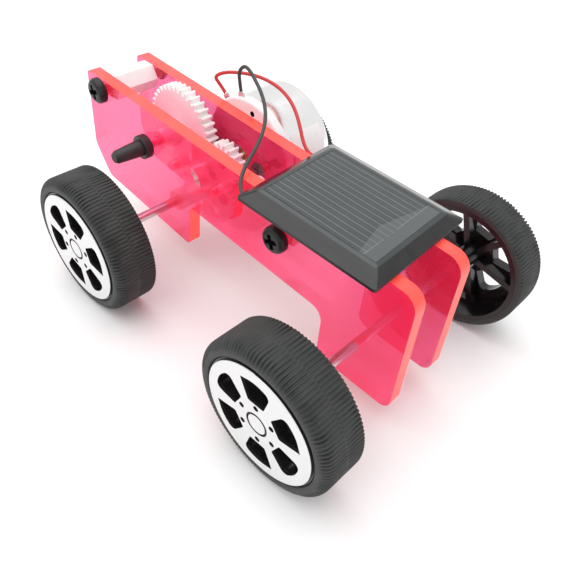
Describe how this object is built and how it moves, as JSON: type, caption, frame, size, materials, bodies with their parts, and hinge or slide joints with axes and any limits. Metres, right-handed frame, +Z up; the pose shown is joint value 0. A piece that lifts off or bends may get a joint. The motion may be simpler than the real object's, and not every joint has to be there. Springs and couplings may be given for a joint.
{
  "type": "solar toy car",
  "caption": "Small solar-powered toy car with two clear side plates, gear-driven rear axle, side motor, roof solar panel and ribbed wheels",
  "frame": {"origin": "On the ground, below the middle of the car's length and width", "axes": "+X forward to the end with the solar panel, +Y to the side with the motor, +Z up"},
  "size_m": [0.0983, 0.067, 0.0461],
  "materials": {
    "clear_red_acrylic": "clear fluorescent red acrylic, polished",
    "white_nylon": "smooth nylon",
    "black_screw": "black screws",
    "steel": "drawn steel",
    "tyre_rubber": "ribbed rubber",
    "wheel_black": "glossy moulded plastic",
    "wheel_silver": "silver coated face",
    "black_plastic": "satin moulded plastic",
    "white_plastic": "glossy moulded plastic",
    "motor_steel": "bright plated sheet steel",
    "brass": "sintered brass",
    "label_white": "thin white film",
    "tinned_metal": "tinned",
    "ferrite": "ferrite",
    "copper": "enamelled copper wire",
    "board_black": "glass-fibre board",
    "resin_black": "cast resin",
    "cell_grey": "cells under clear resin",
    "white_foam": "foam tape",
    "red_insulation": "flexible insulation",
    "black_insulation": "flexible insulation"
  },
  "bodies": {
    "chassis": {"near_side_plate": "clear_red_acrylic", "far_side_plate": "clear_red_acrylic", "rear_standoff": "white_nylon", "front_standoff": "white_nylon", "standoff_screws": "black_screw", "motor_screws": "steel", "motor_end_cap": "white_plastic", "motor_can": "motor_steel", "motor_bearings": "brass", "motor_label": "label_white", "motor_terminals": "tinned_metal", "motor_magnet": "ferrite", "motor_brushes": "brass", "panel_board": "board_black", "panel_resin": "resin_black", "solar_cells": "cell_grey", "panel_solder_joints": "tinned_metal", "near_foam_tape": "white_foam", "far_foam_tape": "white_foam", "red_lead": "red_insulation", "black_lead": "black_insulation"},
    "front_axle_set": {"front_axle": "steel", "front_far_tyre": "tyre_rubber", "front_far_wheel_hub": "wheel_black", "front_far_wheel_face": "wheel_silver", "front_near_tyre": "tyre_rubber", "front_near_wheel_hub": "wheel_black", "front_near_wheel_face": "wheel_silver"},
    "rear_axle_set": {"rear_axle": "steel", "rear_axle_gear": "white_nylon", "rear_far_tyre": "tyre_rubber", "rear_far_wheel_hub": "wheel_black", "rear_far_wheel_face": "wheel_silver", "rear_near_tyre": "tyre_rubber", "rear_near_wheel_hub": "wheel_black", "rear_near_wheel_face": "wheel_silver"},
    "idler_set": {"idler_shaft": "steel", "idler_gear": "white_nylon", "idler_shaft_cap": "black_plastic"},
    "motor_rotor": {"motor_shaft": "steel", "motor_gear": "white_nylon", "motor_armature": "steel", "motor_coils": "copper", "motor_commutator": "copper"}
  },
  "joints": [
    {"name": "front_axle_spin", "type": "hinge", "parent": "chassis", "child": "front_axle_set", "pos_m": [0.0342, 0, 0.015], "axis": [0, 1, 0], "continuous": true},
    {"name": "rear_axle_spin", "type": "hinge", "parent": "chassis", "child": "rear_axle_set", "pos_m": [-0.0222, 0, 0.015], "axis": [0, 1, 0], "continuous": true},
    {"name": "idler_spin", "type": "hinge", "parent": "chassis", "child": "idler_set", "pos_m": [-0.02668, 0, 0.02879], "axis": [0, 1, 0], "continuous": true},
    {"name": "motor_spin", "type": "hinge", "parent": "chassis", "child": "motor_rotor", "pos_m": [-0.01228, 0, 0.02712], "axis": [0, 1, 0], "continuous": true}
  ],
  "couplings": [
    {"joint": "idler_spin", "follows": "rear_axle_spin", "ratio": -1.6364},
    {"joint": "motor_spin", "follows": "rear_axle_spin", "ratio": 3.6364}
  ]
}
